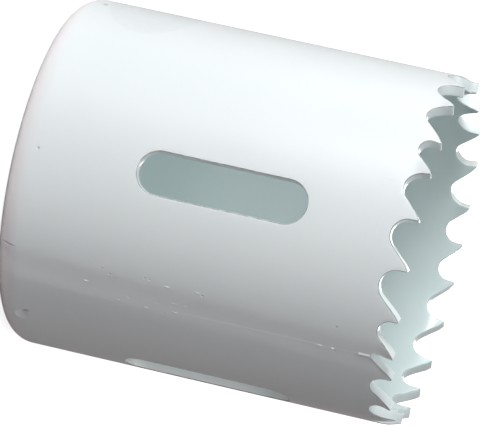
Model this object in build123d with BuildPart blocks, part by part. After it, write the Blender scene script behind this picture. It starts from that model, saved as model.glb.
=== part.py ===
from build123d import *
import os
from itertools import cycle
from math import cos, degrees, radians, sin, sqrt, tan, pi

# All sizes are in millimetres. The saw stands on its back face at z = 0, teeth up, with its axis
# on Z. Places round the rim are measured along the flat strip before it is rolled, at the
# outer face, from the weld seam onwards, counter-clockwise seen from the tooth end.

# Rolled strip
saw_diameter = 41.0
saw_length = 47.0
strip_thickness = 1.3
seam_angle = 48.0

# Back plate, let into the tube's end and welded, its corner then dressed round
plate_thickness = 7.0
back_corner_radius = 2.9
plate_clearance = 0.05
arbor_hole_diameter = 14.5
arbor_hole_chamfer = 0.6
pin_hole_diameter = 6.6
pin_hole_web = 1.45
pin_hole_count = 4
first_pin_angle = 45.0

# Slots through the wall, spread evenly from the first, near the strip's start, to the last
slot_width = 5.0
slot_length = 19.85
slot_height = 24.6
slot_count = 4
first_slot = 13.8
last_slot_to_end = 15.85

# Teeth: the pitches run from each tip to the next, and are stretched a little to fill the strip
first_tip = 3.05
last_tip_to_end = 0.455
tooth_pitches = (
    5.3, 5.8, 5.6, 5.4, 5.5, 5.7, 5.9, 5.2,
    4.8, 5.0, 5.6, 5.6, 5.6, 5.6, 5.6, 5.6,
    5.6, 5.5, 4.6, 5.4, 5.8, 6.0, 4.6,
)
gullet_depth_per_pitch = 0.47
seam_gullet_depth = 2.6
least_root_radius = 0.1
back_slope = 45.0
relief_length = 0.9
relief_angle = 30.0
relief_blend = 1.5
tip_land = 0.08

# Tooth set, once round the rim: each tooth stays straight (0), leans out (1) or leans in (-1)
set_order = (
    0, 1, -1, -1, 0, 0, 1, 1,
    0, 0, -1, 1, 0, -1, 0, -1,
    0, 1, -1, 1, 0, 0, 0, 1,
)
set_angle = 15.0
set_bend_radius = 3.0
set_height = 2.0
set_lead_per_pitch = 0.2
set_trail = 0.25

# Leftover weld bead on the seam, running into its gullet
bead_length = 1.3
bead_width = 0.5
bead_rise = 0.14

# Two knocks by the dressed corner, as if pressed in by a ball
dimple_angle = 65.6
dimple_height = 3.4
dimple_ball_radius = 2.4
dimple_depth = 0.14
nick_angle = 41.0
nick_height = 1.5
nick_ball_radius = 5.0
nick_depth = 0.14

cut_margin = 1.0

outer_radius = saw_diameter / 2
inner_radius = outer_radius - strip_thickness
strip_length = pi * saw_diameter
set_line = saw_length - set_height
relief_run = relief_length * cos(radians(relief_angle))
relief_drop = relief_length * sin(radians(relief_angle))
slope_rise = tan(radians(back_slope))


def rim_angle(place):
    """Angle about the axis, in degrees, of a place along the strip."""
    return seam_angle + degrees(place / outer_radius)


def wall_plane(angle, distance):
    """Plane that faces outwards at a distance from the axis: its x runs round, its y along the saw."""
    turn = radians(angle)
    outwards = Vector(cos(turn), sin(turn), 0)
    return Plane(origin=outwards * distance, x_dir=(-sin(turn), cos(turn), 0), z_dir=outwards)


def section_plane(angle):
    """Plane through the axis: its x runs outwards and its y along the saw."""
    turn = radians(angle)
    return Plane(origin=(0, 0, 0), x_dir=(cos(turn), sin(turn), 0), z_dir=(sin(turn), -cos(turn), 0))


def dress_back_corner():
    """Grinds the back corner of the open part to a quarter round."""
    centre = outer_radius - back_corner_radius
    outside = outer_radius + cut_margin
    with BuildSketch(Plane.XZ) as ground_off:
        with BuildLine():
            corner = CenterArc((centre, back_corner_radius), back_corner_radius, -90, 90)
            Polyline(
                corner @ 1,
                (outside, back_corner_radius),
                (outside, -cut_margin),
                (centre, -cut_margin),
                corner @ 0,
            )
        make_face()
    revolve(ground_off.sketch, axis=Axis.Z, mode=Mode.SUBTRACT)


def knock_centre(angle, height, ball_radius, depth):
    """Centre of a ball that has pressed a knock of this depth into the wall or its round corner."""
    turn = radians(angle)
    below = max(back_corner_radius - height, 0)
    level = sqrt(back_corner_radius**2 - below**2)
    slant = ball_radius - depth
    distance = outer_radius - back_corner_radius + level + slant * level / back_corner_radius
    lift = height - slant * below / back_corner_radius
    return (distance * cos(turn), distance * sin(turn), lift)


def tooth_tips():
    """Places of the tooth tips along the strip, from the seam to its cut end."""
    room = strip_length - first_tip - last_tip_to_end
    runs = [0]
    for pitch in cycle(tooth_pitches):
        if runs[-1] + pitch / 2 > room:
            break
        runs.append(runs[-1] + pitch)
    return [first_tip + run * room / runs[-1] for run in runs]


def corner_depth(pitch):
    """Depth at which the back slope would meet the rake face of the tooth before it."""
    return relief_drop + (pitch - tip_land - relief_run) * slope_rise


def root_radius(pitch, depth):
    """Radius that touches the rake face, the gullet floor and the back slope."""
    spread = tan(radians(45 + back_slope / 2)) - 1
    return max((corner_depth(pitch) - depth) / spread, least_root_radius)


def gullet_outline(pitch, depth, distance):
    """Wire of one gullet between two tips, scaled so that its walls point at the axis."""
    run_above = cut_margin / tan(radians(relief_angle))

    def point(run, height):
        turn = (run - pitch / 2) / outer_radius
        return distance * tan(turn), saw_length + height

    rake_top = point(0, cut_margin)
    path = FilletPolyline(
        rake_top,
        point(0, -corner_depth(pitch)),
        point(pitch - tip_land - relief_run, -relief_drop),
        point(pitch - tip_land + run_above, cut_margin),
        radius=[root_radius(pitch, depth), relief_blend],
    )
    Line(path @ 1, rake_top)


def tooth_section(lean):
    """Half section of the tooth band: straight, or bent out or in above the set line."""
    if lean == 0:
        Polyline(
            (inner_radius, set_line),
            (outer_radius, set_line),
            (outer_radius, saw_length),
            (inner_radius, saw_length),
            close=True,
        )
        return
    inner_bend = set_bend_radius + (strip_thickness if lean > 0 else 0)
    outer_bend = set_bend_radius + (strip_thickness if lean < 0 else 0)
    tops = []
    for face_radius, bend in ((inner_radius, inner_bend), (outer_radius, outer_bend)):
        arc = JernArc((face_radius, set_line), (0, 1), bend, -lean * set_angle)
        reach = (saw_length - (arc @ 1).Y) / cos(radians(set_angle))
        side = PolarLine(arc @ 1, reach, 90 - lean * set_angle)
        tops.append(side @ 1)
    Line(tops[0], tops[1])
    Line((inner_radius, set_line), (outer_radius, set_line))


tips = tooth_tips()
pitches = [after - tip for tip, after in zip(tips, tips[1:] + [tips[0] + strip_length])]
depths = [pitch * gullet_depth_per_pitch for pitch in pitches[:-1]] + [seam_gullet_depth]
slot_pitch = (strip_length - first_slot - last_slot_to_end) / (slot_count - 1)
cut_faces = (inner_radius - set_height, outer_radius + set_height)

with BuildPart() as tooth_band:
    # One sector for each tooth, between the places where its gullets cross the set line
    slope_run = tip_land + relief_run + (set_height - relief_drop) / slope_rise
    for number, (tip, pitch) in enumerate(zip(tips, pitches)):
        start = rim_angle(tip - slope_run - set_trail)
        end = rim_angle(tip + pitch * set_lead_per_pitch)
        with BuildSketch(section_plane(start)):
            with BuildLine():
                tooth_section(set_order[number % len(set_order)])
            make_face()
        revolve(axis=Axis.Z, revolution_arc=end - start)

with BuildPart() as saw_tube:
    with BuildSketch():
        Circle(outer_radius)
        Circle(inner_radius, mode=Mode.SUBTRACT)
    extrude(amount=set_line)
    add(tooth_band.part)

    # Weld bead, cut off by the gullet on the seam
    bead_radius = (bead_width**2 / 4 + bead_rise**2) / (2 * bead_rise)
    bead_distance = outer_radius + bead_rise - bead_radius
    bead_turn = radians(seam_angle)
    bead_foot = saw_length - seam_gullet_depth - bead_length
    with Locations((bead_distance * cos(bead_turn), bead_distance * sin(bead_turn), bead_foot)):
        Sphere(bead_radius)
        Cylinder(bead_radius, bead_length, align=(Align.CENTER, Align.CENTER, Align.MIN))

    # Gullets, milled through the strip while it is flat
    for tip, pitch, depth in zip(tips, pitches, depths):
        for distance in cut_faces:
            with BuildSketch(wall_plane(rim_angle(tip + pitch / 2), distance)):
                with BuildLine():
                    gullet_outline(pitch, depth, distance)
                make_face()
        loft(ruled=True, mode=Mode.SUBTRACT)

    # Slots, punched while the strip is flat
    for number in range(slot_count):
        slot_angle = rim_angle(first_slot + number * slot_pitch)
        for distance in cut_faces:
            with BuildSketch(wall_plane(slot_angle, distance)):
                with Locations((0, slot_height)):
                    SlotOverall(slot_length, slot_width * distance / outer_radius, rotation=90)
        loft(ruled=True, mode=Mode.SUBTRACT)

    dress_back_corner()
    with Locations(knock_centre(dimple_angle, dimple_height, dimple_ball_radius, dimple_depth)):
        Sphere(dimple_ball_radius, mode=Mode.SUBTRACT)
    with Locations(knock_centre(nick_angle, nick_height, nick_ball_radius, nick_depth)):
        Sphere(nick_ball_radius, mode=Mode.SUBTRACT)

with BuildPart() as back_plate:
    with BuildSketch():
        Circle(inner_radius - plate_clearance)
    extrude(amount=plate_thickness)
    Hole(arbor_hole_diameter / 2)
    arbor_edges = back_plate.edges(Select.LAST).filter_by(GeomType.CIRCLE)
    chamfer(arbor_edges, arbor_hole_chamfer)
    pin_distance = (arbor_hole_diameter + pin_hole_diameter) / 2 + pin_hole_web
    with PolarLocations(pin_distance, pin_hole_count, start_angle=first_pin_angle):
        Hole(pin_hole_diameter / 2)
    dress_back_corner()

os.makedirs("parts", exist_ok=True)
for name, piece in (("saw_tube", saw_tube), ("back_plate", back_plate)):
    piece.part.label = name
    export_step(piece.part, f"parts/{name}.step")
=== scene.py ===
"""Dresses the hole saw: its painted toothed tube, its painted back plate with the arbor thread,
and the pale floor, lights and camera round them. Everything is in metres, with the saw's axis on Z.
"""

from bisect import bisect_right
from itertools import accumulate
from math import atan2, ceil, copysign, cos, hypot, pi, radians, sin, sqrt, tan

import bmesh
import bpy
from bpy.props import (
    FloatProperty,
    FloatVectorProperty,
    IntProperty,
    PointerProperty,
)
from mathutils import Matrix, Vector, kdtree
from mathutils.geometry import delaunay_2d_cdt


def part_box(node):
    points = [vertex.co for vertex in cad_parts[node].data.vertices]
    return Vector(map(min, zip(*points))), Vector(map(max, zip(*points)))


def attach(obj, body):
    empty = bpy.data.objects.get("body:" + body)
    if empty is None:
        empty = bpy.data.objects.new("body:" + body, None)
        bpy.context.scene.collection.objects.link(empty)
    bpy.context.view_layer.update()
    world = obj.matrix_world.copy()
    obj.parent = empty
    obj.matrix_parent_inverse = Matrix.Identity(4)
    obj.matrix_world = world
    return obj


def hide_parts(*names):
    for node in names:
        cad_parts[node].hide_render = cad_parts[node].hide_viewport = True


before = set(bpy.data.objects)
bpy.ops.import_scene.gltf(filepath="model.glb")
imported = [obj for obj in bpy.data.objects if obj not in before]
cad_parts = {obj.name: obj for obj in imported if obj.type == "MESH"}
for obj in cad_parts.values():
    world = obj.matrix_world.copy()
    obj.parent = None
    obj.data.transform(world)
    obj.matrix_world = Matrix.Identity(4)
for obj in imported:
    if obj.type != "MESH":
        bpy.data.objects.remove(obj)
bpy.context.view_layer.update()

bl_info = {
    "name": "Hole Saw",
    "version": (1, 0, 0),
    "blender": (4, 5, 0),
    "location": "View3D > Sidebar > Hole Saw",
    "description": "Builds a painted hole saw round its solids, with a floor, lights and a camera",
    "category": "Object",
}

MM = 0.001
INCH = 25.4 * MM
TUBE = "saw_tube"
PLATE = "back_plate"
_, tube_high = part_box(TUBE)
plate_low, plate_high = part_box(PLATE)
COAT = "coat"

# How the meshes are made: vertices closer than WELD are joined, edges that turn by more than SHARP
# stay crisp, and no step round an arc turns by more than ARC_STEP. A rounded edge has EDGE_STEPS
# steps, and the back plate has PLATE_TURNS round its rim and its bore.
WELD = 0.0005 * MM
SHARP = radians(40)
ARC_STEP = radians(9)
EDGE_STEPS = 4
PLATE_TURNS = 180

# Pitches from each tooth tip to the next along the strip, and each tooth's lean: straight 0,
# outwards 1, inwards -1. Both start at the weld seam and run counter-clockwise, seen from the teeth.
TOOTH_PITCHES = (
    5.3, 5.8, 5.6, 5.4, 5.5, 5.7, 5.9, 5.2,
    4.8, 5.0, 5.6, 5.6, 5.6, 5.6, 5.6, 5.6,
    5.6, 5.5, 4.6, 5.4, 5.8, 6.0, 4.6,
)
TOOTH_SET = (
    0, 1, -1, -1, 0, 0, 1, 1,
    0, 0, -1, 1, 0, -1, 0, -1,
    0, 1, -1, 1, 0, 0, 0, 1,
)

# Specks, pits and scratches in the paint: angle about the axis in degrees, height, width round the
# saw, length along it and rise in mm, and the share of the paint that is missing
SPECKS = (
    (4.2, 3.3, 0.5, 0.5, -0.10, 0.8),
    (65.6, 3.4, 3.0, 3.0, 0.08, 0.0),
    (64.8, 3.4, 1.3, 1.3, -0.36, 0.0),
    (62.9, 4.0, 0.6, 1.2, 0.0, 0.9),
    (37.0, 1.6, 0.35, 2.4, -0.12, 0.8),
    (43.8, 11.1, 0.3, 0.8, 0.10, 0.0),
    (48.3, 15.0, 0.2, 0.4, 0.04, 0.0),
    (37.7, 12.9, 0.3, 0.4, -0.04, 0.5),
    (39.2, 13.8, 0.3, 0.3, -0.05, 0.7),
    (40.3, 14.3, 0.3, 0.3, -0.04, 0.5),
    (37.8, 17.9, 0.3, 0.3, -0.04, 0.5),
    (38.1, 18.5, 0.2, 0.4, -0.04, 0.5),
    (39.2, 20.5, 0.25, 0.8, 0.07, 0.0),
    (38.9, 24.1, 0.25, 0.7, 0.05, 0.0),
    (39.5, 24.7, 0.35, 0.35, -0.08, 0.8),
    (46.2, 16.2, 0.2, 0.4, -0.04, 0.5),
    (48.9, 18.3, 0.25, 0.7, 0.05, 0.0),
    (46.0, 19.6, 0.2, 0.4, -0.04, 0.5),
    (45.0, 21.5, 0.2, 1.2, 0.04, 0.0),
    (45.2, 22.8, 0.2, 0.7, 0.04, 0.0),
    (49.4, 20.3, 0.2, 0.4, -0.04, 0.4),
    (48.3, 21.7, 0.25, 0.9, 0.05, 0.0),
    (39.7, 40.2, 0.4, 0.4, -0.07, 0.9),
    (48.1, 38.5, 0.3, 0.8, 0.08, 0.0),
    (48.3, 40.0, 0.4, 0.6, 0.10, 0.0),
    (48.9, 40.3, 0.25, 0.25, -0.06, 0.8),
    (-10.0, 42.7, 0.12, 3.0, -0.015, 0.1),
    (-8.0, 42.3, 0.12, 2.2, -0.015, 0.1),
    (-65.4, 3.7, 1.6, 1.0, -0.08, 0.6),
    (63.0, 9.0, 0.3, 0.3, 0.03, 0.0),
    (118.0, 31.0, 0.4, 0.6, 0.05, 0.0),
    (126.0, 18.0, 0.2, 1.8, -0.03, 0.2),
    (171.0, 12.5, 0.35, 0.35, -0.05, 0.5),
    (205.0, 20.0, 0.15, 3.2, -0.02, 0.1),
    (214.0, 38.0, 0.3, 0.5, 0.04, 0.0),
    (251.0, 6.5, 0.45, 0.45, -0.06, 0.6),
)

# A round darker patch with a crisp edge: angle in degrees, height, width round the saw and
# length along it in mm, and the share of the dark steel colour mixed in
DARK_PATCH = (-70.0, 9.4, 16.4, 10.8, 0.06)
PATCH_EDGE = 0.04


def length_field(name, size, description):
    """A length of the saw that a user may change, given in millimetres."""
    return FloatProperty(name=name, description=description, default=size * MM, unit="LENGTH", precision=5)


def angle_field(name, size, description):
    """An angle that a user may change, given in degrees."""
    return FloatProperty(name=name, description=description, default=radians(size), subtype="ANGLE")


def colour_field(name, colour, description):
    """A colour that a user may change."""
    return FloatVectorProperty(
        name=name, description=description, default=colour, subtype="COLOR", size=3, min=0, max=1
    )


def factor_field(name, value, description):
    """A plain factor that a user may change."""
    return FloatProperty(name=name, description=description, default=value)


def share_field(name, value, description):
    """A share from 0 to 1 that a user may change."""
    return FloatProperty(
        name=name, description=description, default=value, subtype="FACTOR", min=0, max=1
    )


def power_field(name, watts, description):
    """A lamp's power that a user may change, in watts."""
    return FloatProperty(name=name, description=description, default=watts, min=0, unit="POWER")


class TubeSizes(bpy.types.PropertyGroup):
    """Sizes of the toothed tube."""
    diameter: FloatProperty(
        name="Diameter",
        description="Across the wall's outer face",
        default=2 * tube_high.x,
        unit="LENGTH",
        precision=5,
    )
    length: FloatProperty(
        name="Length",
        description="From the back face to the tooth tips",
        default=tube_high.z,
        unit="LENGTH",
        precision=5,
    )
    wall: length_field("Wall", 1.3, "Thickness of the rolled strip")
    seam: angle_field("Seam", 48, "Angle of the weld seam about the axis")
    back_corner: length_field("Back corner", 2.9, "Radius of the dressed corner")
    edge: length_field("Edge rounding", 0.12, "Radius of the painted edges")
    slot_width: length_field("Slot width", 5.0, "Across a slot")
    slot_length: length_field("Slot length", 19.65, "Along a slot, over its round ends")
    slot_height: length_field("Slot height", 24.7, "From the back face to the middle of a slot")
    slot_count: IntProperty(name="Slots", description="Slots round the tube", default=4, min=1)
    first_slot: length_field("First slot", 13.8, "From the seam to the first slot, along the strip")
    last_slot: length_field("Last slot", 15.85, "From the last slot to the strip's end")
    grid: length_field("Grid", 0.5, "Spacing of the mesh on the wall")


class ToothSizes(bpy.types.PropertyGroup):
    """Sizes of the teeth."""
    first_tip: length_field("First tip", 3.05, "From the seam to the first tooth tip")
    last_tip: length_field("Last tip", 0.455, "From the last tooth tip to the strip's end")
    depth_per_pitch: factor_field("Depth per pitch", 0.47, "Depth of a gullet as a share of its pitch")
    seam_depth: length_field("Seam gullet", 2.6, "Depth of the gullet on the seam")
    root: length_field("Least root radius", 0.1, "Smallest radius at the foot of a gullet")
    back_slope: angle_field("Back slope", 45, "Slope of a tooth's back")
    relief_length: length_field("Relief length", 0.9, "Length of the relief behind a tip")
    relief_angle: angle_field("Relief angle", 30, "Slope of the relief behind a tip")
    relief_blend: length_field("Relief blend", 1.5, "Radius between the relief and the back")
    land: length_field("Land", 0.08, "Flat at a tip before its corner is rounded")
    tip: length_field("Tip rounding", 0.17, "Radius of the painted tips")
    set_angle: angle_field("Set angle", 15, "Lean of a set tooth")
    set_radius: length_field("Set radius", 3.0, "Radius of the bend on its inner side")
    set_height: length_field("Set height", 2.0, "From the bend's foot to the tips")
    set_lead: factor_field("Set lead", 0.2, "Share of a pitch, after a tip, where the next bend begins")


class SeamSizes(bpy.types.PropertyGroup):
    """Sizes of the weld seam, its bead and the knocks in the wall."""
    bead_length: length_field("Bead length", 1.3, "Length of the leftover bead")
    bead_width: length_field("Bead width", 0.5, "Width of the leftover bead")
    bead_rise: length_field("Bead rise", 0.14, "Height of the leftover bead")
    ridge_width: length_field("Ridge width", 0.3, "Width of the ground seam where it still shows")
    ridge_rise: length_field("Ridge rise", 0.006, "Height of the ground seam")
    ridge_start: length_field("Ridge start", 20, "Height at which the ground seam begins to show")
    ridge_fade: length_field("Ridge fade", 8, "Length over which the ground seam comes to its full height")
    step_rise: length_field("Step", 0.012, "Height that one side of the seam stands proud of the other")
    step_spread: length_field("Step spread", 2.5, "Width over which the step fades out")
    dent_start: angle_field("Dent start", 42.3, "Angle of the dent beside the seam, at the back face")
    dent_turn: angle_field("Dent turn", 7, "How far the dent turns towards the seam along the saw")
    dent_depth: length_field("Dent depth", 0.09, "Depth of the dent beside the seam")
    dent_spread: length_field("Dent spread", 2.2, "Width over which the dent fades out")
    dimple_angle: angle_field("Dimple angle", 65.6, "Place of the dimple round the rim")
    dimple_height: length_field("Dimple height", 3.4, "Place of the dimple along the saw")
    dimple_ball: length_field("Dimple ball", 2.4, "Radius of the dimple's hollow")
    dimple_depth: length_field("Dimple depth", 0.14, "Depth of the dimple")
    nick_angle: angle_field("Nick angle", 41, "Place of the nick round the rim")
    nick_height: length_field("Nick height", 1.5, "Place of the nick along the saw")
    nick_ball: length_field("Nick ball", 5.0, "Radius of the nick's hollow")
    nick_depth: length_field("Nick depth", 0.14, "Depth of the nick")


class PlateSizes(bpy.types.PropertyGroup):
    """Sizes of the back plate."""
    clearance: length_field("Clearance", 0.05, "Gap between the plate's rim and the tube")
    bore: length_field("Bore", 14.5, "Diameter of the arbor hole at the thread's crests")
    thread_major: length_field("Thread", 15.875, "Diameter of the arbor thread at its roots")
    threads_per_inch: IntProperty(name="Threads per inch", description="Of the arbor thread", default=18)
    lead_in: length_field("Lead-in", 0.85, "Width of the chamfer at each end of the thread")
    pin_hole: length_field("Pin hole", 6.6, "Diameter of a drive pin hole")
    pin_circle: length_field("Pin circle", 24.0, "Diameter of the circle of drive pin holes")
    pin_holes: IntProperty(name="Pin holes", description="Drive pin holes round the bore", default=4)
    first_pin: angle_field("First pin hole", 45, "Angle of the first drive pin hole")
    edge: length_field("Edge rounding", 0.2, "Radius of the painted edges")
    grid: length_field("Grid", 0.7, "Spacing of the mesh on the faces")


class FinishColours(bpy.types.PropertyGroup):
    """Colours and gloss of the paint and the bare steel, and of the painted light and shade on the paint.
    """
    paint: colour_field("Paint", (0.825, 0.9, 0.908), "White enamel")
    shade: colour_field("Shade", (0.80, 0.878, 0.89), "Thin and dirty places in the enamel")
    # Painted shade: the inside of the saw takes this teal copy of the paint, standing in for the tint of
    # light bounced round the cup.
    inside: colour_field("Inside", (0.815, 0.93, 0.93), "Enamel inside the saw")
    # Painted light: this lighter enamel goes on the dressed back corner and the slot walls, standing in
    # for light that falls there.
    painted_light: colour_field("Thick paint", (0.95, 0.98, 0.985), "Enamel that has run together")
    # This dark steel colour shows where paint is worn thin along the edges and in specks, and is painted
    # shade on the back plate's inner face.
    wear_and_shade: colour_field("Thin paint", (0.10, 0.15, 0.155), "Steel that shows through along the edges")
    wear_and_shade_strength: share_field("Edge wear", 0.85, "Share of the steel that shows along the edges")
    steel: colour_field("Steel", (0.42, 0.41, 0.39), "Bare thread")
    gloss: share_field("Roughness", 0.34, "Of the enamel")
    top_gloss: share_field("Top gloss", 0.25, "Share of the light that the enamel's surface adds")
    top_roughness: share_field("Top roughness", 0.12, "Of the enamel's surface")
    peel: share_field("Orange peel", 0.12, "Strength of the fine waves in the enamel")
    peel_depth: length_field("Peel depth", 0.05, "Depth of the fine waves in the enamel")


class StageSettings(bpy.types.PropertyGroup):
    """The camera's place, the lights and the floor."""
    aim_y: length_field("Aim Y", 0.43, "Point on which the camera turns, along Y")
    aim_z: length_field("Aim Z", 23.39, "Point on which the camera turns, along Z")
    azimuth: angle_field("Azimuth", 9.105, "Camera's direction from that point, about the axis")
    elevation: angle_field("Elevation", 10.98, "Camera's direction above the floor")
    roll: angle_field("Roll", 102.595, "Camera's turn about its own view line")
    distance: length_field("Distance", 456.5, "From that point to the camera")
    lens: FloatProperty(name="Lens", description="Focal length", default=295.35, unit="CAMERA")
    floor_size: length_field("Floor size", 3000, "Side of the floor")
    floor_gap: length_field("Floor gap", 0.05, "From the saw's back face down to the floor")
    floor_colour: colour_field("Floor", (0.76, 0.68, 0.69), "Pale floor")
    floor_glow: factor_field("Floor glow", 0.85, "Light that only the camera sees from the floor")
    lamp_distance: length_field("Lamp distance", 500, "From the saw to each lamp")
    lamp_size: length_field("Lamp size", 180, "Side of the soft square lamps round the saw")
    lamp_elevation: angle_field("Lamp elevation", 9, "Height of the lamps round the saw")
    key_azimuth: angle_field("Key azimuth", -40, "Direction of the key light")
    key_power: power_field("Key", 1.52, "Power of the key light")
    side_azimuth: angle_field("Side azimuth", -90, "Direction of the side light")
    side_power: power_field("Side", 0.58, "Power of the side light")
    front_azimuth: angle_field("Front azimuth", 9, "Direction of the front light")
    front_elevation: angle_field("Front elevation", 57, "Height of the front light")
    front_size: length_field("Front size", 320, "Side of the front light")
    front_power: power_field("Front", 0.95, "Power of the front light")
    back_azimuth: angle_field("Back azimuth", 190, "Direction of the back light")
    back_power: power_field("Back", 0.9, "Power of the back light")
    fill: factor_field("Fill", 0.025, "Strength of the world's light")
    fill_colour: colour_field("Fill colour", (1.0, 0.92, 0.93), "Colour of the world's light")


def new_mesh_object(name, verts, faces, coats):
    """An object with a smooth mesh, its meeting vertices welded, that knows its coat of paint.

    A coat holds how thin the paint is (painted shade on the back plate's inner face), how far inside the
    saw it is (which brings the inside's painted shade) and how much painted light it takes, each from 0 to
    1.
    """
    mesh = bpy.data.meshes.new(name)
    mesh.from_pydata(verts, [], faces)
    coat = mesh.attributes.new(COAT, "FLOAT_VECTOR", "POINT")
    coat.data.foreach_set("vector", [value for coat_here in coats for value in coat_here])
    shape = bmesh.new()
    shape.from_mesh(mesh)
    bmesh.ops.remove_doubles(shape, verts=shape.verts, dist=WELD)
    bmesh.ops.dissolve_degenerate(shape, edges=shape.edges, dist=WELD)
    shape.to_mesh(mesh)
    shape.free()
    mesh.polygons.foreach_set("use_smooth", [True] * len(mesh.polygons))
    mesh.set_sharp_from_angle(angle=SHARP)
    item = bpy.data.objects.new(name, mesh)
    bpy.context.scene.collection.objects.link(item)
    return item


def left_of(direction):
    """The direction turned a quarter to the left."""
    return Vector((-direction.y, direction.x))


def rounded_path(corners, radii, spacing, shift=Vector((0, 0))):
    """Places and outward normals along straight runs joined by arcs, with the metal on the right.

    The path comes back to its first corner, moved by the shift.
    """
    arcs = []
    count = len(corners)
    still = Vector((0, 0))
    for index, (corner, radius) in enumerate(zip(corners, radii)):
        before = corners[index - 1] - (shift if index == 0 else still)
        after = corners[(index + 1) % count] + (shift if index == count - 1 else still)
        arriving = (corner - before).normalized()
        leaving = (after - corner).normalized()
        bend = atan2(arriving.cross(leaving), arriving.dot(leaving))
        side = copysign(radius, bend)
        start = corner - arriving * radius * tan(abs(bend) / 2)
        centre = start + left_of(arriving) * side
        steps = max(ceil(abs(bend) * radius / spacing), ceil(abs(bend) / ARC_STEP), 1)
        arc = []
        for step in range(steps + 1):
            normal = left_of(Matrix.Rotation(bend * step / steps, 2) @ arriving)
            arc.append((centre - normal * side, normal))
        arcs.append(arc)
    path = []
    following = arcs[1:] + [[(arcs[0][0][0] + shift, arcs[0][0][1])]]
    for arc, next_arc in zip(arcs, following):
        path.extend(arc)
        end, normal = arc[-1]
        run = next_arc[0][0] - end
        steps = max(ceil(run.length / spacing), 1)
        path.extend((end + run * step / steps, normal) for step in range(1, steps))
    path.append(following[-1][0])
    return path


def edge_levels(edge, thickness, painted_light=0):
    """Steps from the front of a wall over its edge to the back: inset, depth and coat of paint.

    The paint is thin on both rounded edges. Painted light, in the given share, grows over the front
    rounding onto the cut and is gone at the back rounding, while the inside's painted shade grows from the
    front to the back.
    """
    turns = [pi / 2 * step / EDGE_STEPS for step in range(EDGE_STEPS, -1, -1)]
    over = [
        (edge * (1 - cos(a)), edge * (1 - sin(a)), (sqrt(abs(sin(2 * a))), 0, cos(a) * painted_light))
        for a in turns
    ]
    cut_share, inside_share = 0.7, 0.5
    cut = (0, thickness * cut_share, (0, inside_share, painted_light))
    under = [(inset, thickness - depth, (wear_and_shade / 2, 1, 0)) for inset, depth, (wear_and_shade, *_) in reversed(over)]
    return [*over, cut, *under]


def edge_strip(path, levels, place):
    """Vertices and faces over the edge of an outline, from the front of the wall to its back."""
    verts = [place(spot - normal * inset, depth) for spot, normal in path for inset, depth, _ in levels]
    coats = [coat for _ in path for *_, coat in levels]
    width = len(levels)
    faces = []
    for column in range(len(path) - 1):
        for row in range(width - 1):
            here = column * width + row
            faces.append((here, here + width, here + width + 1, here + 1))
    return verts, faces, coats


def fill_flat(border, holes, spots, clear):
    """Flat triangles inside a border, round its holes, through the spots that keep clear of both."""
    rims, loops = [], []
    for loop in (border, *holes):
        loops.append(list(range(len(rims), len(rims) + len(loop))))
        rims.extend(loop)
    near = kdtree.KDTree(len(rims))
    for index, spot in enumerate(rims):
        near.insert((spot.x, spot.y, 0), index)
    near.balance()
    inner = [spot for spot in spots if near.find((spot.x, spot.y, 0))[2] > clear]
    verts, _, triangles, _, _, sources = delaunay_2d_cdt(rims + inner, [], loops, 1, WELD / 100)
    return verts, [tuple(triangle) for triangle, source in zip(triangles, sources) if source == [0]]


def joined(shells):
    """Vertices, faces and coats of several shells as one."""
    verts, faces, coats = [], [], []
    for shell_verts, shell_faces, shell_coats in shells:
        start = len(verts)
        verts.extend(shell_verts)
        faces.extend(tuple(start + i for i in face) for face in shell_faces)
        coats.extend(shell_coats)
    return verts, faces, coats


def full_coat(verts, inside):
    """A well covered coat for each vertex."""
    return [(0, inside, 0)] * len(verts)


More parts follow.
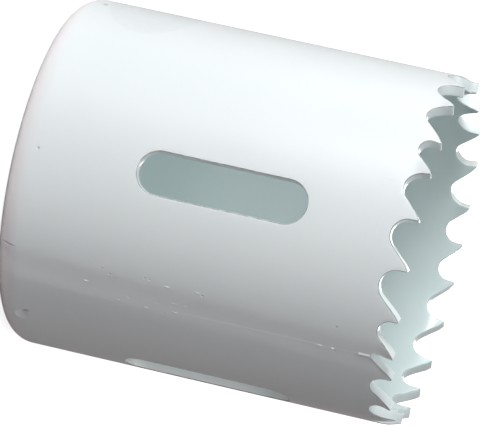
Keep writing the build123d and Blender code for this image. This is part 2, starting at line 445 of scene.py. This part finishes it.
class Strip:
    """The tube's wall as it lies flat: runs go round from the seam, heights along the saw."""

    def __init__(self, tube, teeth, seam):
        self.tube = tube
        self.teeth = teeth
        self.seam = seam
        self.radius = tube.diameter / 2
        self.length = pi * tube.diameter
        runs = [0, *accumulate(pitch * MM for pitch in TOOTH_PITCHES)]
        room = self.length - teeth.first_tip - teeth.last_tip
        self.tips = [teeth.first_tip + run * room / runs[-1] for run in runs]
        afters = self.tips[1:] + [self.tips[0] + self.length]
        self.pitches = [after - tip for tip, after in zip(self.tips, afters)]
        self.gullets = [pitch * teeth.depth_per_pitch for pitch in self.pitches[:-1]]
        self.gullets.append(teeth.seam_depth)
        self.borders = [tip + pitch * teeth.set_lead for tip, pitch in zip(self.tips, self.pitches)]
        spread = self.length - tube.first_slot - tube.last_slot
        self.slots = [
            tube.first_slot + spread * slot / (tube.slot_count - 1) for slot in range(tube.slot_count)
        ]
        self.specks = [
            (self.run_at(radians(angle)), height * MM, wide * MM / 2, long * MM / 2, rise * MM, bare)
            for angle, height, wide, long, rise, bare in SPECKS
        ]
        angle, height, wide, long, self.patch_darkening = DARK_PATCH
        self.patch = (self.run_at(radians(angle)), height * MM, wide * MM / 2, long * MM / 2)
        self.knocks = [
            self.knock(seam.dimple_angle, seam.dimple_height, seam.dimple_ball, seam.dimple_depth),
            self.knock(seam.nick_angle, seam.nick_height, seam.nick_ball, seam.nick_depth),
        ]

    def knock(self, angle, height, ball, depth):
        """Centre and radius of a ball pressed into the wall or its round corner."""
        corner = self.tube.back_corner
        below = max(corner - height, 0)
        level = sqrt(corner**2 - below**2)
        slant = ball - depth
        distance = self.radius - corner + level + slant * level / corner
        lift = height - slant * below / corner
        return Vector((distance * cos(angle), distance * sin(angle), lift)), ball

    def tooth_edge(self):
        """Outline of the teeth, from the first tip once round the rim.

        A rounded tip ends below its corner, so the corner is raised by the peak that the rounding takes.
        """
        teeth, top = self.teeth, self.tube.length
        relief_run = teeth.relief_length * cos(teeth.relief_angle)
        relief_drop = teeth.relief_length * sin(teeth.relief_angle)
        rise = tan(teeth.back_slope)
        peak = 0
        tries = 6
        for _ in range(tries):
            slant = atan2(relief_drop + peak, relief_run + teeth.land)
            peak = teeth.tip * (1 / cos(slant) + tan(slant) - 1)
        spread = tan(radians(45) + teeth.back_slope / 2) - 1
        corners, radii = [], []
        for tip, pitch, depth in zip(self.tips, self.pitches, self.gullets):
            foot = relief_drop + (pitch - teeth.land - relief_run) * rise
            corners.append(Vector((tip, top + peak)))
            corners.append(Vector((tip, top - foot)))
            corners.append(Vector((tip + pitch - teeth.land - relief_run, top - relief_drop)))
            radii += [teeth.tip, max((foot - depth) / spread, teeth.root), teeth.relief_blend]
        return rounded_path(corners, radii, self.tube.grid / 2, Vector((self.length, 0)))

    def slot_edge(self, run):
        """Outline of one slot."""
        tube = self.tube
        half_width = tube.slot_width / 2
        half_length = tube.slot_length / 2
        centre = Vector((run, tube.slot_height))
        corners = [
            centre + Vector((side * half_width, end * half_length))
            for side, end in ((-1, -1), (1, -1), (1, 1), (-1, 1))
        ]
        return rounded_path(corners, [half_width - WELD] * 4, tube.grid / 2)

    def heights(self):
        """Rows of the mesh: close together on the dressed corner, then even."""
        tube = self.tube
        corner = tube.back_corner
        foot = sqrt(corner**2 - (corner - tube.wall) ** 2)
        last = atan2(foot, corner - tube.wall)
        corner_steps = 14
        rows = [
            corner * (1 - sin(last * step / corner_steps)) for step in range(corner_steps, -1, -1)
        ]
        count = round((tube.length - corner) / tube.grid)
        rows += [corner + (tube.length - corner) * step / count for step in range(1, count)]
        return rows

    def spots(self, start, rows):
        """Places inside the wall's outline that the mesh goes through."""
        count = round(self.length / self.tube.grid)
        runs = [start + self.length * column / count for column in range(1, count)]
        spots = [Vector((run, row)) for run in runs for row in rows[1:]]
        lines_aside = 6
        fine = self.seam.bead_width / lines_aside
        bead_rows = range(-4, 24)
        for line in range(-lines_aside, lines_aside + 1):
            run = self.length + line * fine
            spots += [Vector((run, row)) for row in rows[1:]]
            spots += [Vector((run, self.bead_foot() + row * fine)) for row in bead_rows]
        lowest = rows[0] + fine
        spots += [spot for spot in self.marked_spots(start) if lowest < spot.y < self.bead_foot()]
        return spots + [spot for spot in self.patch_spots(start) if lowest < spot.y]

    def marked_spots(self, start):
        """Closer places over the knocks and the specks."""
        knock = 1.5 * MM
        marks = [
            (self.run_at(self.seam.dimple_angle), self.seam.dimple_height, knock, knock),
            (self.run_at(self.seam.nick_angle), self.seam.nick_height, knock, knock),
        ]
        margin = 1.2
        marks += [(run, up, margin * wide, margin * long) for run, up, wide, long, *_ in self.specks]
        fewest, most, step = 4, 14, 0.2 * MM
        spots = []
        for run, height, wide, long in marks:
            across, along = (min(ceil(fewest + reach / step), most) for reach in (wide, long))
            middle = (run - start) % self.length + start
            spots += [
                Vector((middle + wide * column / across, height + long * row / along))
                for column in range(-across, across + 1) for row in range(-along, along + 1)
            ]
        return spots

    def patch_spots(self, start):
        """Two rings of places that keep the dark patch's edge crisp."""
        run, height, wide, long = self.patch
        around = 120
        spots = []
        for reach in (1 - PATCH_EDGE, 1):
            for step in range(around):
                angle = 2 * pi * step / around
                place = (run + wide * reach * cos(angle) - start) % self.length + start
                spots.append(Vector((place, height + long * reach * sin(angle))))
        return spots

    def run_at(self, angle):
        """Run along the strip of an angle about the axis."""
        return (angle - self.tube.seam) * self.radius % self.length

    def bead_foot(self):
        """Height of the bead's lower end."""
        return self.tube.length - self.teeth.seam_depth - self.seam.bead_length

    def from_seam(self, run):
        """Distance from the seam, negative before it."""
        return (run + self.length / 2) % self.length - self.length / 2

    def lean(self, run, height, depth):
        """How far a tooth's set moves a place of the wall outwards."""
        teeth = self.teeth
        above = height - (self.tube.length - teeth.set_height)
        if above <= 0:
            return 0
        tooth = bisect_right(self.borders, run % self.length) % len(self.tips)
        way = TOOTH_SET[tooth]
        radius = teeth.set_radius + (depth if way > 0 else self.tube.wall - depth)
        bent = min(above, radius * sin(teeth.set_angle))
        return way * (radius - sqrt(radius**2 - bent**2) + (above - bent) * tan(teeth.set_angle))

    def specks_at(self, run, height):
        """Each speck that reaches a place: its share of the rise there, its rise and how bare it is."""
        found = []
        for place, up, wide, long, tall, bare in self.specks:
            away = hypot(self.from_seam(run - place) / wide, (height - up) / long)
            if away < 1:
                found.append(((1 - away**2) ** 2, tall, bare))
        return found

    def in_patch(self, run, height):
        """Share of the dark patch at a place: all of it inside, none outside, a blend at its edge."""
        place, up, wide, long = self.patch
        away = hypot(self.from_seam(run - place) / wide, (height - up) / long)
        return min(max((1 - away) / PATCH_EDGE, 0), 1)

    def outer_coat(self, spot):
        """Coat of paint on the wall's outer face: missing in some specks, darker in the round patch, with
        painted light on the dressed corner.
        """
        bare = self.patch_darkening * self.in_patch(*spot)
        bare += sum(share * missing for share, _, missing in self.specks_at(*spot))
        # Painted light: the dressed back corner is lightened, most at the back face, standing in for light
        # that reaches it from beyond the back face.
        fullest_light = 1.4
        painted_light = fullest_light * (1 - spot.y / self.tube.back_corner)
        return min(bare, 1), 0, min(max(painted_light, 0), 1)

    def swell(self, run, height):
        """How far the wall's outer face stands out, or in, at its specks, dent, seam and bead."""
        rise = sum(tall * share for share, tall, _ in self.specks_at(run, height))
        seam = self.seam
        dent_run = self.run_at(seam.dent_start + seam.dent_turn * height / self.tube.length)
        beside = abs(self.from_seam(run - dent_run)) / seam.dent_spread
        if beside < 1:
            rise -= seam.dent_depth * (1 - beside**2) ** 2
        aside = self.from_seam(run)
        if abs(aside) > seam.step_spread or height < self.tube.back_corner:
            return rise
        return rise + self.bead(aside, height) + self.ground_seam(aside, height)

    def bead(self, aside, height):
        """How far the leftover bead stands out, at a distance from the seam."""
        seam = self.seam
        ball = (seam.bead_width**2 / 4 + seam.bead_rise**2) / (2 * seam.bead_rise)
        away = hypot(aside, max(self.bead_foot() - height, 0))
        return max(sqrt(ball**2 - away**2) - ball + seam.bead_rise, 0) if away < ball else 0

    def ground_seam(self, aside, height):
        """How far the ground seam's ridge and step stand out, at a distance from the seam."""
        seam = self.seam
        if height >= self.bead_foot():
            return 0
        fade = min(max((height - seam.ridge_start) / seam.ridge_fade, 0), 1)
        ridge = max(1 - (aside / (seam.ridge_width / 2)) ** 2, 0) ** 2 * seam.ridge_rise
        step = max(1 - aside / seam.step_spread, 0) ** 2 * seam.step_rise if aside > 0 else 0
        return (ridge + step) * fade

    def place(self, spot, depth):
        """Where a place of the flat strip comes on the rolled tube."""
        run, height = spot
        sunk = depth
        if depth < self.tube.wall / 2 and height < self.tube.back_corner:
            corner = self.tube.back_corner
            sunk += corner - sqrt(corner**2 - (corner - height) ** 2)
        radius = self.radius - sunk + self.lean(run, height, depth)
        if depth == 0:
            radius += self.swell(run, height)
        angle = self.tube.seam + run / self.radius
        point = Vector((radius * cos(angle), radius * sin(angle), height))
        if depth == 0:
            for centre, ball in self.knocks:
                away = point - centre
                if away.length < ball:
                    point = centre + away.normalized() * ball
        return point

    def shell(self):
        """Vertices, faces and coats of the whole tube."""
        tube = self.tube
        levels = edge_levels(tube.edge, tube.wall)
        # Painted light on the slot walls, standing in for light that falls on them.
        slot_levels = edge_levels(tube.edge, tube.wall, 1)
        teeth = self.tooth_edge()
        slots = [self.slot_edge(run) for run in self.slots]
        shells = [edge_strip(teeth, levels, self.place)]
        shells += [edge_strip(path, slot_levels, self.place) for path in slots]

        rows = self.heights()
        top = [spot - normal * tube.edge for spot, normal in teeth]
        start = top[0].x
        count = round(self.length / tube.grid)
        bottom = [Vector((start + self.length * column / count, rows[0])) for column in range(count + 1)]
        side = [Vector((start, row)) for row in rows[1:] if row < top[0].y - tube.grid / 2]
        far_side = [spot + Vector((self.length, 0)) for spot in side]
        border = bottom + far_side + top[::-1] + side[::-1]
        holes = [[spot - normal * tube.edge for spot, normal in slot[:-1]] for slot in slots]
        flat, triangles = fill_flat(border, holes, self.spots(start, rows), tube.grid / 3)
        outside = [self.place(spot, 0) for spot in flat]
        inside = [self.place(spot, tube.wall) for spot in flat]
        shells.append((outside, triangles, [self.outer_coat(spot) for spot in flat]))
        shells.append((inside, [triangle[::-1] for triangle in triangles], full_coat(inside, 1)))
        return joined(shells)


def bore_thread(plate, low, high):
    """Vertices, faces and coats of the arbor thread between its two lead-in chamfers."""
    along = 100
    pitch = INCH / plate.threads_per_inch
    crest = plate.bore / 2
    depth = (plate.thread_major - plate.bore) / 2
    flank_angle = radians(30)
    flank = depth * tan(flank_angle)
    flat_root = pitch / 8
    mouth = crest + plate.lead_in
    verts, faces = [], []
    for column in range(PLATE_TURNS + 1):
        share = column / PLATE_TURNS
        angle = 2 * pi * share
        for row in range(along + 1):
            height = low + (high - low) * row / along
            phase = (height / pitch - share) % 1
            aside = abs(phase - 0.5) * pitch - flat_root / 2
            groove = depth * min(max(1 - aside / flank, 0), 1)
            end = min(height - low, high - height)
            radius = max(crest + groove, mouth - end)
            verts.append((radius * cos(angle), radius * sin(angle), height))
    for column in range(PLATE_TURNS):
        for row in range(along):
            here = column * (along + 1) + row
            faces.append((here, here + 1, here + along + 2, here + along + 1))
    return verts, faces, full_coat(verts, 0)


def circle_path(centre, radius, count):
    """Places and normals round a hole, with the metal outside it."""
    path = []
    for step in range(count + 1):
        angle = 2 * pi * step / count
        outwards = Vector((cos(angle), sin(angle)))
        path.append((centre + outwards * radius, -outwards))
    return path


def pin_hole_paths(plate):
    """Outline of each drive pin hole."""
    paths = []
    for hole in range(plate.pin_holes):
        angle = plate.first_pin + 2 * pi * hole / plate.pin_holes
        centre = Vector((cos(angle), sin(angle))) * plate.pin_circle / 2
        paths.append(circle_path(centre, plate.pin_hole / 2, PLATE_TURNS // 3))
    return paths


def pin_hole_wall(plate, path):
    """Vertices, faces and coats of a drive pin hole, from the inner face to the back face."""
    levels = edge_levels(plate.edge, plate_high.z - plate_low.z)

    def place(spot, depth):
        """Where a place of the outline comes in the plate."""
        return Vector((spot.x, spot.y, plate_high.z - depth))

    verts, faces, coats = edge_strip(path, levels, place)
    return verts, [face[::-1] for face in faces], [(wear_and_shade, 1 - back, 0) for wear_and_shade, back, _ in coats]


def rim_profile(plate, tube, rim):
    """Radii and heights down the plate's rim, from its inner face to its back face."""
    corner = tube.back_corner
    centre = tube.diameter / 2 - corner
    lowest = corner - sqrt(corner**2 - (rim - centre) ** 2)
    top = plate_high.z - plate.edge
    turns = [pi / 2 * step / EDGE_STEPS for step in range(EDGE_STEPS + 1)]
    profile = [(rim - plate.edge * (1 - sin(a)), plate_high.z - plate.edge * (1 - cos(a))) for a in turns]
    side_steps, corner_steps = 6, 8
    profile += [(rim, top - (top - lowest) * step / side_steps) for step in range(1, side_steps + 1)]
    last = atan2(rim - centre, corner - lowest)
    turns = [last * step / corner_steps for step in range(corner_steps - 1, -1, -1)]
    return profile + [(centre + corner * sin(a), corner - corner * cos(a)) for a in turns]


def turned(profile):
    """Vertices, faces and coats of a profile turned once round the axis."""
    verts = [
        (radius * cos(2 * pi * step / PLATE_TURNS), radius * sin(2 * pi * step / PLATE_TURNS), height)
        for step in range(PLATE_TURNS + 1) for radius, height in profile
    ]
    width = len(profile)
    faces = []
    for column in range(PLATE_TURNS):
        for row in range(width - 1):
            here = column * width + row
            faces.append((here, here + 1, here + width + 1, here + width))
    return verts, faces, full_coat(verts, 0)


def back_plate_shell(plate, tube):
    """Vertices, faces and coats of the plate, with its drive pin holes and arbor thread."""
    rim = tube.diameter / 2 - tube.wall - plate.clearance
    paths = pin_hole_paths(plate)
    profile = rim_profile(plate, tube, rim)
    shells = [pin_hole_wall(plate, path) for path in paths]
    shells.append(turned(profile))

    count = ceil(rim / plate.grid)
    spots = [
        Vector((x * plate.grid, y * plate.grid))
        for x in range(-count, count + 1) for y in range(-count, count + 1)
    ]
    directions = [Vector((cos(a), sin(a))) for a in (2 * pi * i / PLATE_TURNS for i in range(PLATE_TURNS))]
    mouth = plate.bore / 2 + plate.lead_in
    bore = [way * mouth for way in directions]
    rims = [bore] + [[spot - normal * plate.edge for spot, normal in path[:-1]] for path in paths]
    # Painted shade: the plate's inner face, at the bottom of the cup, is darkened by this share of the
    # dark steel colour.
    inner_face_shade = 0.25
    for height, outer, wear_and_shade, order in (
        (plate_high.z, profile[0][0], inner_face_shade, 1),
        (plate_low.z, profile[-1][0], 0, -1),
    ):
        border = [way * outer for way in directions]
        flat, triangles = fill_flat(border, rims, spots, plate.grid / 3)
        verts = [Vector((spot.x, spot.y, height)) for spot in flat]
        faces = [triangle[::order] for triangle in triangles]
        shells.append((verts, faces, [(wear_and_shade, 0, 0)] * len(verts)))
    return joined([*shells, bore_thread(plate, plate_low.z, plate_high.z)])


def new_material(name):
    """A material with its node tree and its shader."""
    material = bpy.data.materials.new(name)
    material.use_nodes = True
    tree = material.node_tree
    return material, tree, tree.nodes["Principled BSDF"]


def noise(tree, scale, detail):
    """A noise texture in the object's own metres."""
    texture = tree.nodes.new("ShaderNodeTexNoise")
    texture.inputs["Scale"].default_value = scale
    texture.inputs["Detail"].default_value = detail
    tree.links.new(object_place(tree), texture.inputs["Vector"])
    return texture.outputs["Fac"]


def object_place(tree):
    """The place on the object, in its own metres."""
    found = tree.nodes.get("Place")
    if not found:
        found = tree.nodes.new("ShaderNodeTexCoord")
        found.name = "Place"
    return found.outputs["Object"]


def ramp(tree, value, low, high, start, end):
    """Maps a value from one range to another."""
    node = tree.nodes.new("ShaderNodeMapRange")
    for name, size in (("From Min", low), ("From Max", high), ("To Min", start), ("To Max", end)):
        node.inputs[name].default_value = size
    tree.links.new(value, node.inputs["Value"])
    return node.outputs["Result"]


def blend_colours(tree, share, first, second):
    """Mixes two colours, or sockets that give them, by a share."""
    node = tree.nodes.new("ShaderNodeMix")
    node.data_type = "RGBA"
    tree.links.new(share, node.inputs["Factor"])
    colour_inputs = [socket for socket in node.inputs if socket.type == "RGBA"]
    for socket, colour in zip(colour_inputs, (first, second)):
        if isinstance(colour, bpy.types.NodeSocket):
            tree.links.new(colour, socket)
        else:
            socket.default_value = (*colour, 1)
    return next(socket for socket in node.outputs if socket.type == "RGBA")


def product(tree, first, second):
    """One value times another."""
    node = tree.nodes.new("ShaderNodeMath")
    node.operation = "MULTIPLY"
    tree.links.new(first, node.inputs[0])
    tree.links.new(second, node.inputs[1])
    return node.outputs[0]


def enamel(colours):
    """Glossy white paint, a little uneven, sprayed over the whole saw, with painted light on its back
    corner and slot walls and painted shade inside it and on the back plate's inner face.
    """
    material, tree, shader = new_material("white_enamel")
    patches = ramp(tree, noise(tree, scale=45, detail=1), low=0.3, high=0.8, start=0, end=1)
    outside = blend_colours(tree, patches, colours.paint, colours.shade)
    attribute = tree.nodes.new("ShaderNodeAttribute")
    attribute.attribute_name = COAT
    coat = tree.nodes.new("ShaderNodeSeparateXYZ")
    tree.links.new(attribute.outputs["Vector"], coat.inputs["Vector"])
    # Painted light: the coat's Z share lightens the dressed back corner and the slot walls, standing in
    # for light that falls there.
    outside = blend_colours(tree, coat.outputs["Z"], outside, colours.painted_light)
    # Painted shade: the coat's Y share gives the inside of the saw a teal copy of the paint, standing in
    # for light bounced round the cup.
    covered = blend_colours(tree, coat.outputs["Y"], outside, colours.inside)
    # The coat's X share mixes in dark steel: worn thin paint along the edges and in the specks, darker
    # paint in the round patch, and painted shade on the back plate's inner face.
    break_noise = noise(tree, scale=1100, detail=2)
    wear_and_shade_mask = ramp(tree, break_noise, low=0.35, high=0.6, start=0.5, end=colours.wear_and_shade_strength)
    share = product(tree, coat.outputs["X"], wear_and_shade_mask)
    tree.links.new(blend_colours(tree, share, covered, colours.wear_and_shade), shader.inputs["Base Color"])
    smears = noise(tree, scale=180, detail=2)
    dull = ramp(tree, smears, low=0.1, high=0.9, start=colours.gloss - 0.05, end=colours.gloss + 0.08)
    tree.links.new(dull, shader.inputs["Roughness"])
    peel = tree.nodes.new("ShaderNodeBump")
    peel.inputs["Strength"].default_value = colours.peel
    peel.inputs["Distance"].default_value = colours.peel_depth
    tree.links.new(noise(tree, scale=900, detail=2), peel.inputs["Height"])
    tree.links.new(peel.outputs["Normal"], shader.inputs["Normal"])
    shader.inputs["Coat Weight"].default_value = colours.top_gloss
    shader.inputs["Coat Roughness"].default_value = colours.top_roughness
    return material


def bare_steel(colours):
    """Oily cut steel of the thread."""
    material, tree, shader = new_material("thread_steel")
    stains = ramp(tree, noise(tree, scale=400, detail=4), low=0.35, high=0.7, start=0, end=1)
    stained = 0.55
    dark = tuple(stained * value for value in colours.steel)
    tree.links.new(blend_colours(tree, stains, colours.steel, dark), shader.inputs["Base Color"])
    shader.inputs["Metallic"].default_value = 1
    dull = ramp(tree, noise(tree, scale=900, detail=3), low=0.3, high=0.7, start=0.28, end=0.5)
    tree.links.new(dull, shader.inputs["Roughness"])
    return material


def dress(item, node, material):
    """Puts a finished piece in the place of its plain solid."""
    item.data.materials.append(material)
    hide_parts(node)
    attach(item, "root")


class SAW_OT_tube(bpy.types.Operator):
    """Builds the rolled, slotted and toothed tube with its painted edges"""
    bl_idname = "hole_saw.tube"
    bl_label = "Toothed Tube"

    def execute(self, context):
        scene = context.scene
        strip = Strip(scene.saw_tube, scene.saw_teeth, scene.saw_seam)
        item = new_mesh_object("toothed_tube", *strip.shell())
        dress(item, TUBE, enamel(scene.saw_finish))
        return {"FINISHED"}


class SAW_OT_back_plate(bpy.types.Operator):
    """Builds the back plate with its drive pin holes and the arbor thread"""
    bl_idname = "hole_saw.back_plate"
    bl_label = "Back Plate"

    def execute(self, context):
        scene = context.scene
        item = new_mesh_object("threaded_back_plate", *back_plate_shell(scene.saw_plate, scene.saw_tube))
        dress(item, PLATE, enamel(scene.saw_finish))
        item.data.materials.append(bare_steel(scene.saw_finish))
        reach = scene.saw_plate.bore / 2 + scene.saw_plate.lead_in
        for face in item.data.polygons:
            between = plate_low.z < face.center.z < plate_high.z
            if between and hypot(face.center.x, face.center.y) < reach:
                face.material_index = 1
        return {"FINISHED"}


def floor_material(stage):
    """Pale floor that the camera sees as white, apart from the saw's shadow."""
    material, tree, shader = new_material("pale_floor")
    shader.inputs["Base Color"].default_value = (*stage.floor_colour, 1)
    shader.inputs["Roughness"].default_value = 0.9
    shader.inputs["Specular IOR Level"].default_value = 0
    shader.inputs["Emission Color"].default_value = (1, 1, 1, 1)
    path = tree.nodes.new("ShaderNodeLightPath")
    glow = tree.nodes.new("ShaderNodeMath")
    glow.operation = "MULTIPLY"
    glow.inputs[1].default_value = stage.floor_glow
    tree.links.new(path.outputs["Is Camera Ray"], glow.inputs[0])
    tree.links.new(glow.outputs[0], shader.inputs["Emission Strength"])
    return material


def world_light(stage):
    """Even fill light, with a white backdrop where the camera or a reflection sees past the floor."""
    world = bpy.data.worlds.new("studio")
    world.use_nodes = True
    tree = world.node_tree
    fill = tree.nodes["Background"]
    fill.inputs["Color"].default_value = (*stage.fill_colour, 1)
    fill.inputs["Strength"].default_value = stage.fill
    white = tree.nodes.new("ShaderNodeBackground")
    white.inputs["Color"].default_value = (1, 1, 1, 1)
    path = tree.nodes.new("ShaderNodeLightPath")
    seen = tree.nodes.new("ShaderNodeMath")
    seen.operation = "MAXIMUM"
    tree.links.new(path.outputs["Is Camera Ray"], seen.inputs[0])
    tree.links.new(path.outputs["Is Glossy Ray"], seen.inputs[1])
    choose = tree.nodes.new("ShaderNodeMixShader")
    tree.links.new(seen.outputs[0], choose.inputs["Fac"])
    tree.links.new(fill.outputs[0], choose.inputs[1])
    tree.links.new(white.outputs[0], choose.inputs[2])
    tree.links.new(choose.outputs[0], tree.nodes["World Output"].inputs["Surface"])
    bpy.context.scene.world = world


def aim(item, place, target):
    """Puts an object at a place, facing the target."""
    item.location = place
    item.rotation_mode = "QUATERNION"
    item.rotation_quaternion = (target - place).to_track_quat("-Z", "Y")


def towards(azimuth, elevation):
    """Direction from the saw at these angles about its axis and above the floor."""
    level = cos(elevation)
    return Vector((level * cos(azimuth), level * sin(azimuth), sin(elevation)))


def area_light(name, target, azimuth, elevation, distance, size, watts):
    """A soft square lamp that faces the target."""
    data = bpy.data.lights.new(name, "AREA")
    data.size = size
    data.energy = watts
    lamp = bpy.data.objects.new(name, data)
    bpy.context.scene.collection.objects.link(lamp)
    aim(lamp, target + towards(azimuth, elevation) * distance, target)


class SAW_OT_stage(bpy.types.Operator):
    """Lays the floor, hangs the lights and sets up the camera"""
    bl_idname = "hole_saw.stage"
    bl_label = "Stage"

    def execute(self, context):
        scene = context.scene
        stage = scene.saw_stage
        half = stage.floor_size / 2
        mesh = bpy.data.meshes.new("floor")
        ways = ((-half, -half), (half, -half), (half, half), (-half, half))
        mesh.from_pydata([(x, y, -stage.floor_gap) for x, y in ways], [], [(0, 1, 2, 3)])
        floor_item = bpy.data.objects.new("floor", mesh)
        scene.collection.objects.link(floor_item)
        mesh.materials.append(floor_material(stage))
        world_light(stage)
        target = Vector((0, stage.aim_y, stage.aim_z))
        low = (stage.lamp_elevation, stage.lamp_size)
        for name, azimuth, (elevation, size), watts in (
            ("key", stage.key_azimuth, low, stage.key_power),
            ("side", stage.side_azimuth, low, stage.side_power),
            ("front", stage.front_azimuth, (stage.front_elevation, stage.front_size), stage.front_power),
            ("back", stage.back_azimuth, low, stage.back_power),
        ):
            area_light(name, target, azimuth, elevation, stage.lamp_distance, size, watts)

        camera_data = bpy.data.cameras.new("camera")
        camera_data.lens = stage.lens
        camera_data.sensor_width = 36
        camera_data.clip_start = 0.01
        camera = bpy.data.objects.new("camera", camera_data)
        scene.collection.objects.link(camera)
        place = target + towards(stage.azimuth, stage.elevation) * stage.distance
        upright = (target - place).to_track_quat("-Z", "Y").to_matrix()
        rolled = upright @ Matrix.Rotation(stage.roll, 3, "Z")
        camera.matrix_world = Matrix.LocRotScale(place, rolled, None)
        scene.camera = camera
        scene.view_settings.view_transform = "Standard"
        return {"FINISHED"}


class SAW_PT_panel(bpy.types.Panel):
    """Lists the saw's sizes and the steps that build it"""
    bl_idname = "SAW_PT_panel"
    bl_label = "Hole Saw"
    bl_space_type = "VIEW_3D"
    bl_region_type = "UI"
    bl_category = "Hole Saw"

    def draw(self, context):
        layout = self.layout
        for name, group in SETTINGS:
            box = layout.box()
            box.label(text=group.__doc__)
            settings = getattr(context.scene, name)
            for field in group.__annotations__:
                box.prop(settings, field)
        for operator in OPERATORS:
            layout.operator(operator.bl_idname)


SETTINGS = (
    ("saw_tube", TubeSizes),
    ("saw_teeth", ToothSizes),
    ("saw_seam", SeamSizes),
    ("saw_plate", PlateSizes),
    ("saw_finish", FinishColours),
    ("saw_stage", StageSettings),
)
OPERATORS = (SAW_OT_stage, SAW_OT_tube, SAW_OT_back_plate)


def register():
    """Makes the settings, operators and panel known to Blender."""
    for name, group in SETTINGS:
        bpy.utils.register_class(group)
        setattr(bpy.types.Scene, name, PointerProperty(type=group))
    for item in (*OPERATORS, SAW_PT_panel):
        bpy.utils.register_class(item)


def unregister():
    """Takes the settings, operators and panel away again."""
    for item in (SAW_PT_panel, *reversed(OPERATORS)):
        bpy.utils.unregister_class(item)
    for name, group in reversed(SETTINGS):
        delattr(bpy.types.Scene, name)
        bpy.utils.unregister_class(group)


def main():
    """Builds the stage and the saw."""
    register()
    bpy.ops.hole_saw.stage()
    bpy.ops.hole_saw.tube()
    bpy.ops.hole_saw.back_plate()


if __name__ == "__main__":
    main()
